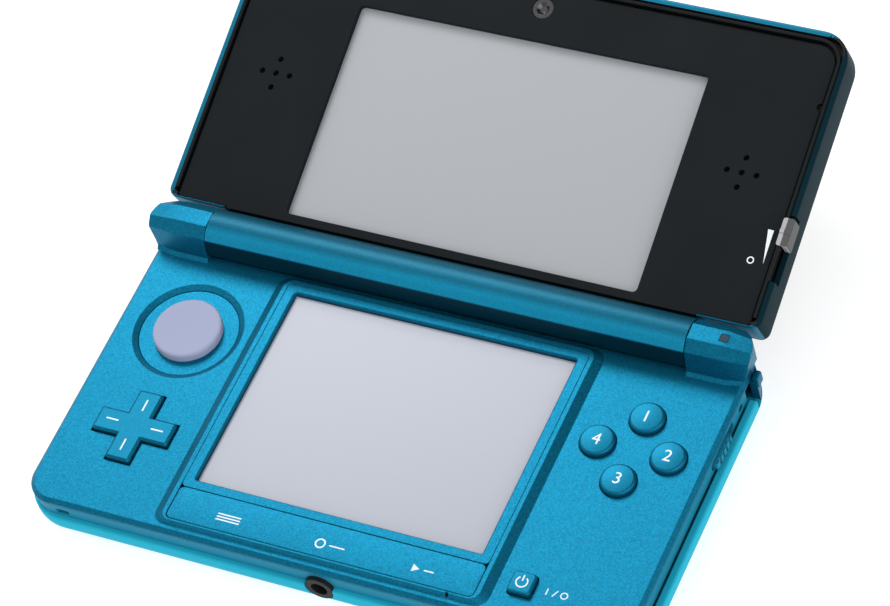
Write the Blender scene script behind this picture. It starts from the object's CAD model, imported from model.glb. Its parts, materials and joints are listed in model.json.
"""A hand-held game console with two screens, lying open on a pale floor.

X runs to the right, Y from the front edge towards the hinge and Z up. The base stands on the floor.
The lid has a flat frame of its own (LID): X to the right, Y away from the hinge along the lid,
Z out of its screen side. That frame is tilted up about X. Shapes are given in millimetres and
scaled by MM; materials, lights and the floor are in metres.
"""
import json
import math
import bmesh
import bpy
from mathutils import Matrix, Vector


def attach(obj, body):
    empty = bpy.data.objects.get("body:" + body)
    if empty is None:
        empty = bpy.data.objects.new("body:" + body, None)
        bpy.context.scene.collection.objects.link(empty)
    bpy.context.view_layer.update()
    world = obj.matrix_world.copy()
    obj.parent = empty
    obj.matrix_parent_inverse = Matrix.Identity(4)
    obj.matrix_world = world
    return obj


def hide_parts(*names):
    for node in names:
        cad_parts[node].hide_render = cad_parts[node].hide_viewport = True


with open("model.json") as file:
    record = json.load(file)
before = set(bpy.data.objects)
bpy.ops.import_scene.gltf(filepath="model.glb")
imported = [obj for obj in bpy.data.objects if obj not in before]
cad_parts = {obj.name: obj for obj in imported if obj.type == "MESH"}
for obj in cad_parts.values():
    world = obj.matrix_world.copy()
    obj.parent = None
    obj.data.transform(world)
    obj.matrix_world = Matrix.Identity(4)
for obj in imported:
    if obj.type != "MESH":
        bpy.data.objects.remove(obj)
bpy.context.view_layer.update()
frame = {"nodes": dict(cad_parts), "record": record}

NODES = frame["nodes"]
BODY_OF = {node: body
           for body, members in frame["record"]["behaviour"]["bodies"].items()
           for node in members}
SLOT_OF = {part["node"]: part["material_slot"] for part in frame["record"]["subparts"]}

MM = 0.001
LID_TILT = math.radians(16.93)
LID = (Matrix.Translation((0, 60.493 * MM, 24.375 * MM))
       @ Matrix.Rotation(LID_TILT, 4, "X"))
BASE = Matrix.Identity(4)


# ------------------------------------------------------------------ node trees
NOISE_MIDDLE = (0.3, 0.7)   # the range that holds most values of a noise texture
MIX_FACTOR, MIX_A, MIX_B = 0, 6, 7   # sockets of a Mix node set to colours


class Tree:
    """A short way to write the node tree of a material or a world."""

    def __init__(self, owner):
        owner.use_nodes = True
        self.tree = owner.node_tree
        self.tree.nodes.clear()

    def put(self, socket, value):
        """Link the value when it is a socket, otherwise store it."""
        if isinstance(value, bpy.types.NodeSocket):
            self.tree.links.new(value, socket)
        else:
            socket.default_value = value

    def add(self, kind, inputs=None, **settings):
        """Add a node; inputs maps socket names or numbers to values."""
        node = self.tree.nodes.new(kind)
        for key, value in settings.items():
            setattr(node, key, value)
        for key, value in (inputs or {}).items():
            self.put(node.inputs[key], value)
        return node

    def remap(self, value, source, target=(0.0, 1.0), interpolation="LINEAR"):
        return self.add("ShaderNodeMapRange", {
            "Value": value,
            "From Min": source[0], "From Max": source[1],
            "To Min": target[0], "To Max": target[1],
        }, interpolation_type=interpolation).outputs[0]

    def math(self, operation, a, b=0.0):
        return self.add("ShaderNodeMath", {0: a, 1: b}, operation=operation).outputs[0]


class Surface(Tree):
    """A material with one Principled shader, textured in object coordinates."""

    def __init__(self, name):
        self.mat = bpy.data.materials.new(name)
        super().__init__(self.mat)
        output = self.add("ShaderNodeOutputMaterial")
        self.shader = self.add("ShaderNodeBsdfPrincipled")
        self.put(output.inputs[0], self.shader.outputs[0])
        self.coord = self.object_coord()

    def object_coord(self):
        return self.add("ShaderNodeTexCoord").outputs["Object"]

    def set(self, values):
        for key, value in values.items():
            self.put(self.shader.inputs[key], value)

    def split(self, vector):
        """The X, Y and Z sockets of a vector."""
        return self.add("ShaderNodeSeparateXYZ", {"Vector": vector}).outputs

    def noise(self, scale, detail, roughness):
        return self.add("ShaderNodeTexNoise", {
            "Scale": scale, "Detail": detail, "Roughness": roughness, "Vector": self.coord,
        }).outputs["Fac"]

    def mix(self, factor, a, b):
        return self.add("ShaderNodeMix", {MIX_FACTOR: factor, MIX_A: a, MIX_B: b},
                        data_type="RGBA").outputs[2]

    def round_edges(self, radius):
        return self.add("ShaderNodeBevel", {"Radius": radius}, samples=4).outputs[0]

    def bump(self, height, strength, distance, normal=None):
        inputs = {"Height": height, "Strength": strength, "Distance": distance}
        if normal is not None:
            inputs["Normal"] = normal
        return self.add("ShaderNodeBump", inputs).outputs[0]


def scaled(colour, factor):
    """The colour times a factor, clipped at 1, with full alpha."""
    return (*[min(1.0, x * factor) for x in colour], 1.0)


# ------------------------------------------------------------------ material kinds
# Distance round the barrel, taken from Y plus a share of Z, measured from a crease
CREASE_Y, CREASE_Z = 0.02775, 0.0167
TURN_Z_SHARE = 0.9
TURN_START, TURN_LENGTH = -1.0, 10.0   # millimetres covered by the colour ramp


def turn_shade(surface, stations):
    """Brightness by distance round the barrel; stations are (millimetres from crease, share)."""
    _, y, z = surface.split(surface.coord)
    way = surface.math("ADD", surface.math("SUBTRACT", y, CREASE_Y),
                       surface.math("MULTIPLY", surface.math("SUBTRACT", z, CREASE_Z),
                                    TURN_Z_SHARE))
    span = (TURN_START * MM, (TURN_START + TURN_LENGTH) * MM)
    ramp = surface.add("ShaderNodeValToRGB", {"Fac": surface.remap(way, source=span)})
    elements = ramp.color_ramp.elements
    while len(elements) < len(stations):
        elements.new(0.5)
    for element, (at, share) in zip(elements, stations):
        element.position = (at - TURN_START) / TURN_LENGTH
        element.color = (share, share, share, 1.0)
    return ramp.outputs[0]


def lacquer(name, colour, rough, metal, flake, coat=0.0, spec=0.15, edge=0.00012, turn=None):
    """Metallic fleck lacquer: coloured flakes about a fifth of a millimetre across.

    flake is the brightness spread of the flakes, edge the radius of the rounded shading.
    """
    surface = Surface(name)
    cell = surface.add("ShaderNodeTexVoronoi", {"Scale": 5200.0, "Vector": surface.coord},
                       feature="F1")
    fleck = surface.remap(cell.outputs["Color"], source=(0.0, 1.0), target=(-1.0, 1.0))
    fine = surface.noise(scale=9000.0, detail=1.0, roughness=0.5)
    cloud = surface.noise(scale=35.0, detail=3.0, roughness=0.55)
    base = surface.mix(surface.remap(cloud, source=NOISE_MIDDLE),
                       scaled(colour, factor=0.965), scaled(colour, factor=1.035))
    value = surface.math("ADD", surface.math("MULTIPLY", fleck, flake), 1.0)
    value = surface.math("ADD", value, surface.remap(
        fine, source=NOISE_MIDDLE, target=(-flake * 0.5, flake * 0.5)))
    if turn is not None:
        value = surface.math("MULTIPLY", value, turn_shade(surface, turn))
    tinted = surface.add("ShaderNodeHueSaturation", {"Color": base, "Value": value})
    surface.set({
        "Base Color": tinted.outputs[0],
        "Metallic": metal,
        "Roughness": surface.remap(fine, source=(0.2, 0.8), target=(rough - 0.05, rough + 0.05)),
        "Coat Weight": coat,
        "Coat Roughness": 0.22,
        "Specular IOR Level": spec,
    })
    surface.set({"Normal": surface.bump(cell.outputs["Distance"], strength=0.10,
                                        distance=0.00004, normal=surface.round_edges(edge))})
    return surface


def plastic(name, colour, rough, coat=0.0, grain=0.15, grain_scale=2600.0, spec=0.5,
            edge=0.00012, vary=0.03, metal=0.0):
    """Moulded plastic: a fine grain, slightly uneven sheen and colour.

    grain is the bump strength, vary the colour spread, edge the rounded radius (0 for none).
    """
    surface = Surface(name)
    fine = surface.noise(scale=grain_scale, detail=3.0, roughness=0.6)
    cloud = surface.noise(scale=60.0, detail=3.0, roughness=0.5)
    colour_mix = surface.mix(surface.remap(cloud, source=NOISE_MIDDLE),
                             scaled(colour, 1 - vary), scaled(colour, 1 + vary))
    average = surface.math("ADD", surface.math("MULTIPLY", fine, 0.5),
                           surface.math("MULTIPLY", cloud, 0.5))
    surface.set({
        "Base Color": colour_mix,
        "Roughness": surface.remap(average, source=NOISE_MIDDLE,
                                   target=(rough - 0.04, rough + 0.05)),
        "Coat Weight": coat,
        "Coat Roughness": 0.08,
        "Metallic": metal,
        "Specular IOR Level": spec,
    })
    rounded = surface.round_edges(edge) if edge else None
    surface.set({"Normal": surface.bump(fine, strength=grain, distance=0.00003,
                                        normal=rounded)})
    return surface


def two_tone(surface, split_x, bright):
    """Give the surface a bright colour to the left of split_x."""
    dark = surface.shader.inputs["Base Color"].links[0].from_socket
    x = surface.split(surface.object_coord())[0]
    left = surface.math("LESS_THAN", x, split_x)
    surface.set({"Base Color": surface.mix(left, dark, (*bright, 1.0))})
    return surface


def display(name, colour, centre, half, shade, border_half, border):
    """An unlit display: graded by shade from corner to corner, with a plain border.

    half is the half size of the graded field, border_half that of the area inside the border.
    """
    surface = Surface(name)
    place = surface.split(surface.coord)
    x, y = [surface.remap(place[axis],
                          source=(centre[axis] - half[axis], centre[axis] + half[axis]))
            for axis in (0, 1)]
    grade = surface.math("ADD", surface.math("MULTIPLY", x, -0.5),
                         surface.math("MULTIPLY", y, 0.5))
    base = surface.mix(surface.remap(grade, source=(-0.5, 0.5)),
                       scaled(colour, 1 - shade), scaled(colour, 1 + shade))
    grain = surface.noise(scale=6000.0, detail=1.0, roughness=0.5)
    base = surface.mix(surface.remap(grain, source=NOISE_MIDDLE, target=(0.0, 0.05)),
                       base, scaled(colour, factor=0.85))
    beyond_x, beyond_y = [
        surface.math("SUBTRACT",
                     surface.math("ABSOLUTE",
                                  surface.math("SUBTRACT", place[axis], centre[axis])),
                     border_half[axis])
        for axis in (0, 1)]
    outside = surface.math("GREATER_THAN", surface.math("MAXIMUM", beyond_x, beyond_y), 0.0)
    surface.set({
        "Base Color": surface.mix(outside, base, (*border, 1.0)),
        "Roughness": 0.35,
        "Coat Weight": 0.15,
        "Coat Roughness": 0.3,
        "Specular IOR Level": 0.3,
    })
    surface.set({"Normal": surface.bump(grain, strength=0.03, distance=0.00002)})
    return surface


# ------------------------------------------------------------------ materials
# (millimetres from crease, share of full brightness)
BARREL_TURN = [(-0.45, 0.12), (0.05, 1.0), (2.8, 0.95), (4.6, 0.45), (6.5, 0.34)]

# Keyed by material slot, with a few extra finishes
SURFACES = {
    "face_blue": lacquer("face_lacquer", (0.004, 0.154, 0.265), rough=0.47, metal=0.8,
                         flake=0.34, edge=0.00022),
    "key_blue": lacquer("key_lacquer", (0.004, 0.148, 0.252), rough=0.46, metal=0.76,
                        flake=0.14),
    "band_teal": plastic("band_plastic", (0.013, 0.225, 0.350), rough=0.45, metal=0.15,
                         spec=0.1),
    "shell_cyan": plastic("shell_plastic", (0.020, 0.41, 0.57), rough=0.45, spec=0.02,
                          grain=0.06, vary=0.015),
    "pad_grey": plastic("pad_rubber", (0.355, 0.382, 0.535), rough=0.72, grain=0.4,
                        grain_scale=3500.0, spec=0.2),
    "panel_black": plastic("panel_coating", (0.0096, 0.0122, 0.0136), rough=0.55, grain=0.5,
                           grain_scale=3200.0, vary=0.10, spec=0.06),
    "rim_black": plastic("rim_gloss", (0.006, 0.007, 0.008), rough=0.22, coat=0.1, grain=0.03,
                         spec=0.1),
    "lid_blue": lacquer("lid_lacquer", (0.004, 0.020, 0.028), rough=0.45, metal=0.1,
                        flake=0.05, spec=0.02),
    "barrel_blue": lacquer("barrel_lacquer", (0.006, 0.270, 0.450), rough=0.48, metal=0.60,
                           coat=0.04, flake=0.18, turn=BARREL_TURN),
    "board_green": plastic("board_mask", (0.02, 0.18, 0.08), rough=0.35),
    "chip_black": plastic("chip_epoxy", (0.02, 0.02, 0.02), rough=0.6),
    "can_steel": plastic("tinned_sheet", (0.55, 0.55, 0.54), rough=0.3, metal=1.0),
    "cell_grey": plastic("cell_wrap", (0.30, 0.31, 0.33), rough=0.45),
    "nylon_black": plastic("black_nylon", (0.012, 0.012, 0.013), rough=0.45, grain=0.3,
                           spec=0.15),
    "rubber_grey": plastic("silicone", (0.3, 0.3, 0.3), rough=0.7),
    "screw_steel": plastic("zinc_steel", (0.42, 0.42, 0.43), rough=0.32, metal=1.0),
    "contact_brass": plastic("plated_contact", (0.80, 0.62, 0.30), rough=0.25, metal=1.0),
    "lens_black": plastic("lens_gloss", (0.01, 0.01, 0.013), rough=0.08, coat=1.0, grain=0.0),
    "lamp_clear": plastic("smoked_lamp", (0.003, 0.034, 0.062), rough=0.3, grain=0.0,
                          spec=0.1),
    "knob_dark": two_tone(plastic("knob_brushed", (0.095, 0.095, 0.097), rough=0.42,
                                  metal=0.3, grain=0.2, spec=0.1),
                          split_x=0.0645, bright=(0.42, 0.42, 0.43)),
    "knob_silver": plastic("knob_bright", (0.50, 0.50, 0.51), rough=0.35, metal=0.4,
                           grain=0.1),
    "trim_blue": lacquer("trim_lacquer", (0.004, 0.150, 0.25), rough=0.40, metal=0.5,
                         flake=0.05),
    "flex_amber": plastic("polyimide", (0.50, 0.24, 0.05), rough=0.35),
    "card_blue": plastic("card_plastic", (0.04, 0.09, 0.20), rough=0.4),
    "touch_clear": display("touch_film", (0.395, 0.412, 0.480), centre=(0, 0),
                           half=(0.031, 0.0236), shade=0.05,
                           border_half=(0.03112, 0.02342), border=(0.010, 0.030, 0.045)),
    "screen_grey": display("barrier_glass", (0.388, 0.403, 0.424), centre=(0, 0.0605),
                           half=(0.039, 0.0225), shade=0.02,
                           border_half=(0.0384, 0.02204), border=(0.36, 0.375, 0.395)),
    "ink_white": plastic("white_ink", (0.86, 0.90, 0.93), rough=0.5, grain=0.1, edge=0),
    "ink_soft": plastic("soft_white_ink", (0.75, 0.86, 0.92), rough=0.5, grain=0.1, edge=0),
    "dark_gap": plastic("dark_gap", (0.004, 0.006, 0.008), rough=0.7, grain=0.1, edge=0),
}
FINISH = {key: surface.mat for key, surface in SURFACES.items()}


# ------------------------------------------------------------------ mesh helpers
def link(name, mesh, finish, body, smooth=None, replaces=()):
    """Make the object; smooth is the angle in degrees above which an edge stays sharp."""
    obj = bpy.data.objects.new(name, mesh)
    bpy.context.scene.collection.objects.link(obj)
    mesh.materials.clear()
    mesh.materials.append(FINISH[finish])
    if smooth is not None:
        mesh.shade_smooth()
        mesh.set_sharp_from_angle(angle=math.radians(smooth))
    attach(obj, body)
    if replaces:
        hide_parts(*replaces)
    return obj


def mesh_from(name, verts, faces, matrix=BASE):
    """A mesh from millimetre points, placed by the matrix."""
    mesh = bpy.data.meshes.new(name)
    points = [matrix @ Vector((x * MM, y * MM, z * MM)) for x, y, z in verts]
    mesh.from_pydata(points, [], faces)
    mesh.validate()
    bm = bmesh.new()
    bm.from_mesh(mesh)
    bmesh.ops.recalc_face_normals(bm, faces=bm.faces)
    bm.to_mesh(mesh)
    bm.free()
    return mesh


def lathe(name, profile, centre, steps):
    """Closed solid about an upright axis; profile is (radius, height) from axis to axis."""
    verts, faces, rings = [], [], []
    for radius, z in profile:
        first = len(verts)
        if radius < 1e-6:
            verts.append((*centre, z))
        else:
            for k in range(steps):
                angle = 2 * math.pi * k / steps
                verts.append((centre[0] + radius * math.cos(angle),
                              centre[1] + radius * math.sin(angle), z))
        rings.append(range(first, len(verts)))
    for low, high in zip(rings[:-1], rings[1:]):
        for k in range(steps):
            j = (k + 1) % steps
            if len(low) == 1:
                faces.append((low[0], high[k], high[j]))
            elif len(high) == 1:
                faces.append((low[j], low[k], high[0]))
            else:
                faces.append((low[k], high[k], high[j], low[j]))
    return mesh_from(name, verts, faces)


# ------------------------------------------------------------------ the carried-over pieces
def skin(node, finish=None):
    """The node's own surface with welded corners and smooth shading."""
    mesh = NODES[node].data.copy()
    bm = bmesh.new()
    bm.from_mesh(mesh)
    bmesh.ops.remove_doubles(bm, verts=bm.verts, dist=2e-6)
    bmesh.ops.dissolve_degenerate(bm, dist=1e-7, edges=bm.edges)
    bm.to_mesh(mesh)
    bm.free()
    if mesh.has_custom_normals and "custom_normal" in mesh.attributes:
        mesh.attributes.remove(mesh.attributes["custom_normal"])
    slot = SLOT_OF[node]
    smooth = 20.0 if node == "control_faceplate" else 28.0
    return link(node + "_skin", mesh, finish or slot, BODY_OF[node], smooth, (node,))


for node in NODES:
    NODES[node].data.materials.clear()
    NODES[node].data.materials.append(FINISH[SLOT_OF[node]])

SKINS = {node: skin(node) for node in (
    "bottom_cover", "mid_frame", "control_faceplate", "screen_frame", "touch_panel",
    "menu_key_strip", "circle_pad_slider", "circle_pad_cap", "cross_key", "power_key",
    "shoulder_button_left", "shoulder_button_right", "wireless_slider_knob",
    "volume_slider_knob", "card_door", "stylus_grip", "stylus_tip_tube", "light_guides",
    "infrared_window", "audio_jack", "charge_socket", "cover_screws", "lid_outer_cover",
    "lid_rim", "lid_front_panel", "parallax_panel", "inner_camera", "outer_cameras",
    "depth_slider_knob")}
SKINS["lid_frame"] = skin("lid_frame", "barrel_blue")

# ------------------------------------------------------------------ second finishes on the lid
TO_LID = LID.inverted()

# The recess inside the outer cover, in millimetres in the lid's frame
RECESS_HALF_X = 64.5
RECESS_NEAR_Y, RECESS_FAR_Y = -24.9, 36.3
RECESS_CENTRE_Y = 6.0
RECESS_LOWEST_Z = -8.2


def in_recess(point, normal):
    """Faces in the recess that look up, or inwards from its walls."""
    inside = (abs(point.x) < RECESS_HALF_X and RECESS_NEAR_Y < point.y < RECESS_FAR_Y
              and point.z > RECESS_LOWEST_Z and normal.z > -0.5)
    inward = normal.x * point.x + normal.y * (point.y - RECESS_CENTRE_Y) < 0.0
    return inside and (normal.z > 0.5 or inward)


def beyond_barrel(point, normal):
    return point.y > -25.5


def hinge_side(point, normal):
    return point.y < -24.8 and point.z > -5.0


def top_edge(point, normal):
    """The left and far edges, near the level of the screen side."""
    return point.z > -0.4 and (point.x < -64.6 or point.y > 36.4)


def right_or_top(point, normal):
    return normal.x > 0.5 or normal.z > 0.9


def paint(node, finish, picks):
    """A second finish on the faces picked by centre (millimetres) and normal, lid frame."""
    mesh = SKINS[node].data
    mesh.materials.append(FINISH[finish])
    index = len(mesh.materials) - 1
    turn = TO_LID.to_3x3()
    for face in mesh.polygons:
        if picks((TO_LID @ face.center) / MM, turn @ face.normal):
            face.material_index = index


paint("lid_frame", "nylon_black", beyond_barrel)
paint("lid_outer_cover", "nylon_black", in_recess)
paint("lid_outer_cover", "trim_blue", hinge_side)
paint("lid_outer_cover", "trim_blue", top_edge)
paint("depth_slider_knob", "knob_dark", right_or_top)

# ------------------------------------------------------------------ round keys with their figures
KEYS_X, KEYS_Y = 49.9, 6.95   # centre of the diamond of keys
KEYS_OFFSET = 7.47            # from that centre to each key
KEY_R, KEY_TOP = 3.6, 12.35
CROWN_R, CROWN_DROP = 2.95, 0.17   # shallow dome inside the rounded edge
EDGE_Z = 11.45                     # where the rounded edge starts
EDGE_RISE = KEY_TOP - CROWN_DROP - EDGE_Z
FLANGE_R, FLANGE_Z0, FLANGE_Z1 = 4.7, 8.5, 9.1
STEM_Z = 10.4                 # a station on the straight side
EDGE_STEPS, CROWN_STEPS, KEY_STEPS = 9, 10, 128
FIGURE_SIZE = 3.7
FIGURE_MAX_EDGE = 0.3         # longer edges are cut so the figure follows the dome
FIGURE_RISE, FIGURE_SINK = 0.025, 0.08

# name, direction from the diamond's centre, printed figure
ROUND_KEYS = [("right", 1, 0, "2"), ("far", 0, 1, "1"), ("left", -1, 0, "4"),
              ("near", 0, -1, "3")]


def dome(radius):
    """Height of a round key's crown: a shallow dome with a broad rounded edge."""
    if radius <= CROWN_R:
        return KEY_TOP - CROWN_DROP * (radius / CROWN_R) ** 2
    t = min(1.0, (radius - CROWN_R) / (KEY_R - CROWN_R))
    return EDGE_Z + EDGE_RISE * math.sqrt(max(0.0, 1.0 - t * t))


def key_profile():
    radii = [CROWN_R + (KEY_R - CROWN_R) * math.cos(math.pi / 2 * k / EDGE_STEPS)
             for k in range(EDGE_STEPS + 1)]
    radii += [CROWN_R * (1 - k / CROWN_STEPS) for k in range(1, CROWN_STEPS + 1)]
    side = [(0.0, FLANGE_Z0), (FLANGE_R, FLANGE_Z0), (FLANGE_R, FLANGE_Z1),
            (KEY_R, FLANGE_Z1), (KEY_R, STEM_Z)]
    return side + [(radius, dome(radius)) for radius in radii]


def key_figure(name, figure, centre_x, centre_y, body):
    """A printed figure laid on a round key's dome."""
    curve = bpy.data.curves.new(name, "FONT")
    curve.body = figure
    curve.size = FIGURE_SIZE
    curve.align_x = "CENTER"
    curve.align_y = "CENTER"
    curve.extrude = 0.02
    curve.resolution_u = 6
    text = bpy.data.objects.new(name + "_tmp", curve)
    bpy.context.scene.collection.objects.link(text)
    depsgraph = bpy.context.evaluated_depsgraph_get()
    mesh = bpy.data.meshes.new_from_object(text.evaluated_get(depsgraph))
    bpy.data.objects.remove(text)

    xs = [v.co.x for v in mesh.vertices]
    ys = [v.co.y for v in mesh.vertices]
    middle_x = (min(xs) + max(xs)) / 2
    middle_y = (min(ys) + max(ys)) / 2
    bm = bmesh.new()
    bm.from_mesh(mesh)
    bmesh.ops.remove_doubles(bm, verts=bm.verts, dist=1e-5)
    bmesh.ops.triangulate(bm, faces=bm.faces)
    for _ in range(4):
        long_edges = [e for e in bm.edges if e.calc_length() > FIGURE_MAX_EDGE]
        bmesh.ops.subdivide_edges(bm, edges=long_edges, cuts=1)
        bmesh.ops.triangulate(bm, faces=bm.faces)
    for v in bm.verts:
        x, y = v.co.x - middle_x, v.co.y - middle_y
        lift = FIGURE_RISE if v.co.z > 0 else -FIGURE_SINK
        z = dome(math.hypot(x, y)) + lift
        v.co = Vector(((centre_x + x) * MM, (centre_y + y) * MM, z * MM))
    bmesh.ops.recalc_face_normals(bm, faces=bm.faces)
    bm.to_mesh(mesh)
    bm.free()
    link(name, mesh, "ink_white", body)


for side, step_x, step_y, figure in ROUND_KEYS:
    x, y = KEYS_X + step_x * KEYS_OFFSET, KEYS_Y + step_y * KEYS_OFFSET
    cap = "round_key_" + side + "_cap"
    link(cap, lathe(cap, key_profile(), (x, y), KEY_STEPS), "key_blue", "key_" + side,
         40, ("round_key_" + side,))
    key_figure("key_figure_" + side, figure, x, y, "key_" + side)

# ------------------------------------------------------------------ printed marks
MARK_SINK, MARK_RISE = 0.05, 0.02   # each mark's depth below and height above its surface


def plate_mark(outline, surface, matrix=BASE):
    """A thin closed plate over a convex outline."""
    n = len(outline)
    verts = [(x, y, z) for z in (surface - MARK_SINK, surface + MARK_RISE) for x, y in outline]
    faces = [tuple(range(n))[::-1], tuple(range(n, 2 * n))]
    faces += [(k, (k + 1) % n, n + (k + 1) % n, n + k) for k in range(n)]
    return mesh_from("plate_mark", verts, faces, matrix)


def bar_mark(centre_x, centre_y, length, width, surface, degrees=0):
    """A bar with rounded ends, turned from the X axis."""
    end_steps = 4
    radius = width / 2
    points = []
    for side in (1, -1):
        for k in range(end_steps + 1):
            angle = -math.pi / 2 + math.pi * k / end_steps
            x = (length / 2 - radius) + radius * math.cos(angle)
            points.append((side * x, side * radius * math.sin(angle)))
    cos, sin = math.cos(math.radians(degrees)), math.sin(math.radians(degrees))
    outline = [(centre_x + x * cos - y * sin, centre_y + x * sin + y * cos)
               for x, y in points]
    return plate_mark(outline, surface)


def ring_mark(centre_x, centre_y, radius, width, surface, start=0, end=360, steps=48,
              matrix=BASE):
    """A flat ring, or the part of one between two angles in degrees."""
    full = end - start == 360
    stations = steps if full else steps + 1
    first, last = math.radians(start), math.radians(end)
    verts, faces = [], []
    for k in range(stations):
        angle = first + (last - first) * k / steps
        for r in (radius - width / 2, radius + width / 2):
            for z in (surface - MARK_SINK, surface + MARK_RISE):
                verts.append((centre_x + r * math.cos(angle), centre_y + r * math.sin(angle), z))
    for k in range(steps):
        a, b = 4 * k, 4 * ((k + 1) % stations)
        for p, q in ((0, 1), (1, 3), (3, 2), (2, 0)):
            faces.append((a + p, a + q, b + q, b + p))
    if not full:
        e = 4 * steps
        faces += [(0, 2, 3, 1), (e, e + 1, e + 3, e + 2)]
    return mesh_from("ring_mark", verts, faces, matrix)


def print_marks(name, marks, finish, body):
    """Join the marks into one object."""
    bm = bmesh.new()
    for mark in marks:
        bm.from_mesh(mark)
    mesh = bpy.data.meshes.new(name)
    bm.to_mesh(mesh)
    bm.free()
    link(name, mesh, finish, body)


# One bar on each arm of the cross key: x, y, degrees
CROSS_BARS = [(-49.16, -10.3, 90), (-49.33, -20.05, 90), (-54.25, -15.05, 0), (-44.10, -15.1, 0)]
print_marks("cross_key_marks",
            [bar_mark(x, y, length=2.8, width=0.32, surface=12.05, degrees=degrees)
             for x, y, degrees in CROSS_BARS],
            "ink_white", "cross")

# Menu strip: three lines, a ring with a bar, a triangle with a bar
MENU_Y, MENU_Z = -30.3, 12.0
marks = [bar_mark(-20.6, y, length=5.2, width=0.30, surface=MENU_Z)
         for y in (-29.55, -30.2, -30.85)]
marks += [
    ring_mark(-0.4, MENU_Y, radius=0.95, width=0.34, surface=MENU_Z),
    bar_mark(3.2, MENU_Y, length=3.4, width=0.30, surface=MENU_Z),
    plate_mark([(19.4, MENU_Y - 0.85), (20.9, MENU_Y), (19.4, MENU_Y + 0.85)], MENU_Z),
    bar_mark(22.9, MENU_Y, length=2.2, width=0.30, surface=MENU_Z),
]
print_marks("menu_strip_marks", marks, "ink_soft", "menu_strip")

# Power key: an open ring with a stroke through the gap
POWER_X, POWER_Z = 41.3, 12.2
print_marks("power_key_mark", [
    ring_mark(POWER_X, -27.45, radius=1.15, width=0.28, surface=POWER_Z,
              start=125, end=415, steps=40),
    bar_mark(POWER_X, -26.55, length=1.35, width=0.28, surface=POWER_Z, degrees=90),
], "ink_white", "power")

# To the right of the power key: a bar, a slanted stroke and a ring
BESIDE_Y, BESIDE_Z = -27.5, 11.0
print_marks("power_marks", [
    bar_mark(46.3, BESIDE_Y, length=1.5, width=0.26, surface=BESIDE_Z, degrees=90),
    bar_mark(48.0, BESIDE_Y, length=1.7, width=0.24, surface=BESIDE_Z, degrees=62),
    ring_mark(49.9, BESIDE_Y, radius=0.66, width=0.24, surface=BESIDE_Z),
], "ink_soft", "base")

# Depth slider: a wedge scale and a ring, in the lid's frame
print_marks("depth_scale_marks", [
    plate_mark([(60.81, -5.0), (62.02, -12.12), (62.03, -5.03)], surface=0, matrix=LID),
    ring_mark(59.3, -11.9, radius=0.62, width=0.24, surface=0, matrix=LID),
], "ink_white", "lid")

# ------------------------------------------------------------------ camera
# Pose from a frame in millimetres to the view, whose Y points down and Z ahead
VIEW_TURN = Vector((2.474352361995832, 0.4338227483877332, -0.42567150555034705))
VIEW_SHIFT = Vector((-14.324801877781397, 22.8638576614669, 823.5002110275798))
VIEW_ORIGIN = Vector((0, 0, 12.0))   # where that frame's origin lies

rotation = Matrix.Rotation(VIEW_TURN.length, 3, VIEW_TURN.normalized())
position = -(rotation.transposed() @ VIEW_SHIFT) + VIEW_ORIGIN
axes = Matrix((rotation[0], -rotation[1], -rotation[2])).transposed()
camera_data = bpy.data.cameras.new("camera")
camera_data.sensor_fit = "HORIZONTAL"
camera_data.sensor_width = 36.0
camera_data.lens = 170.485497
camera_data.shift_x = -0.016083146
camera_data.shift_y = -0.0010202247
camera_data.clip_start = 0.05
camera_data.clip_end = 20.0
camera = bpy.data.objects.new("camera", camera_data)
bpy.context.scene.collection.objects.link(camera)
camera.matrix_world = Matrix.Translation(position * MM) @ axes.to_4x4()
bpy.context.scene.camera = camera

# ------------------------------------------------------------------ floor
FLOOR_SIZE = 3.0
FLOOR_Z = -0.00002   # just under the base
FLOOR_GLOW = 0.74    # keeps the paper pale under the dim studio

paper = plastic("floor_paper", (0.45, 0.45, 0.45), rough=0.9, grain=0.1, grain_scale=400.0,
                vary=0.004, edge=0, spec=0.1)
paper.set({"Emission Color": (1.0, 1.0, 1.0, 1.0), "Emission Strength": FLOOR_GLOW})
bm = bmesh.new()
bmesh.ops.create_grid(bm, x_segments=2, y_segments=2, size=FLOOR_SIZE)
mesh = bpy.data.meshes.new("floor")
bm.to_mesh(mesh)
bm.free()
floor = bpy.data.objects.new("floor", mesh)
mesh.materials.append(paper.mat)
floor.location = (0, 0, FLOOR_Z)
bpy.context.scene.collection.objects.link(floor)

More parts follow.
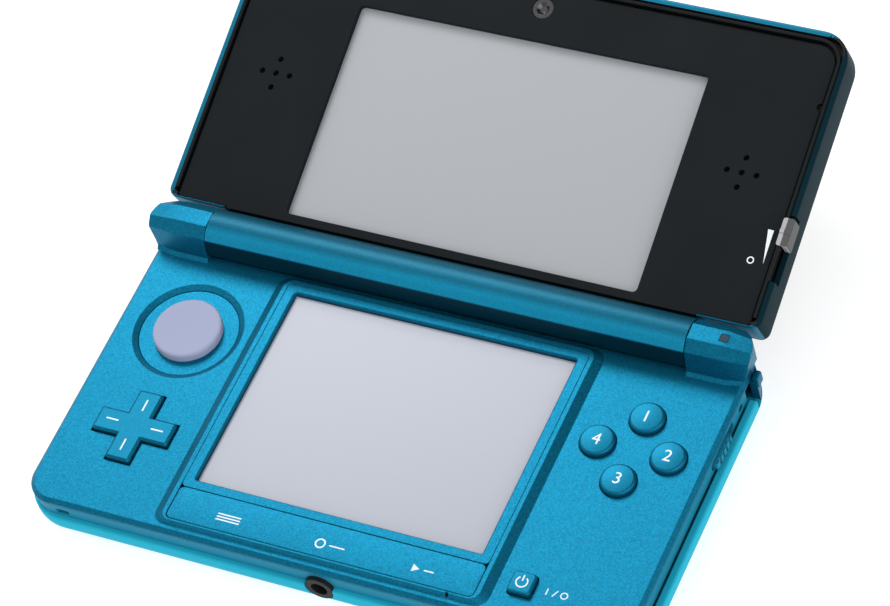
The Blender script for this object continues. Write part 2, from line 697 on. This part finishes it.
# ------------------------------------------------------------------ key light
KEY_POWER = 3.95
KEY_SIZE = 0.34
KEY_DISTANCE = 0.85
KEY_TARGET = Vector((0, 0.02, 0.01))
KEY_DIRECTION = Vector((-0.42, 0.56, 0.71)).normalized()   # up, behind and to the left

light = bpy.data.lights.new("key_light", "AREA")
light.shape = "RECTANGLE"
light.size = KEY_SIZE
light.size_y = KEY_SIZE
light.energy = KEY_POWER
key_light = bpy.data.objects.new("key_light", light)
key_light.location = KEY_TARGET + KEY_DIRECTION * KEY_DISTANCE
key_light.rotation_euler = (-KEY_DIRECTION).to_track_quat("-Z", "Y").to_euler()
bpy.context.scene.collection.objects.link(key_light)

# ------------------------------------------------------------------ studio world
AMBIENT = 0.22
DARKEST = 0.03
STUDIO_COLOUR = (0.97, 0.985, 1.0, 1.0)
# Soft patches of wall: direction, cosine where it starts, cosine where it is full, strength
WALLS = [((-0.45, -0.75, 0.5), 0.2, 0.95, 0.38),    # front left
         ((-0.95, 0.25, 0.1), 0.3, 0.95, 0.55),     # left
         ((0.05, -0.1, 1.0), 0.75, 1.0, 0.7),       # ceiling
         ((0.95, -0.32, 0.03), 0.45, 0.95, 2.2),    # right
         ((0.6, 0.5, 0.6), 0.3, 0.9, -0.17)]        # darker above the back right

world = bpy.data.worlds.new("studio")
bpy.context.scene.world = world
studio = Tree(world)
output = studio.add("ShaderNodeOutputWorld")
background = studio.add("ShaderNodeBackground")
around = studio.add("ShaderNodeTexCoord").outputs["Generated"]
strength = AMBIENT
for direction, low, high, patch_strength in WALLS:
    dot = studio.add("ShaderNodeVectorMath", {0: around, 1: Vector(direction).normalized()},
                     operation="DOT_PRODUCT")
    patch = studio.remap(dot.outputs["Value"], source=(low, high),
                         target=(0.0, patch_strength), interpolation="SMOOTHSTEP")
    strength = studio.math("ADD", strength, patch)
strength = studio.math("MAXIMUM", strength, DARKEST)
studio.put(background.inputs["Color"], STUDIO_COLOUR)
studio.put(background.inputs["Strength"], strength)
studio.put(output.inputs[0], background.outputs[0])

view = bpy.context.scene.view_settings
view.view_transform = "Standard"
view.look = "None"
view.exposure = 0.0
view.gamma = 1.0

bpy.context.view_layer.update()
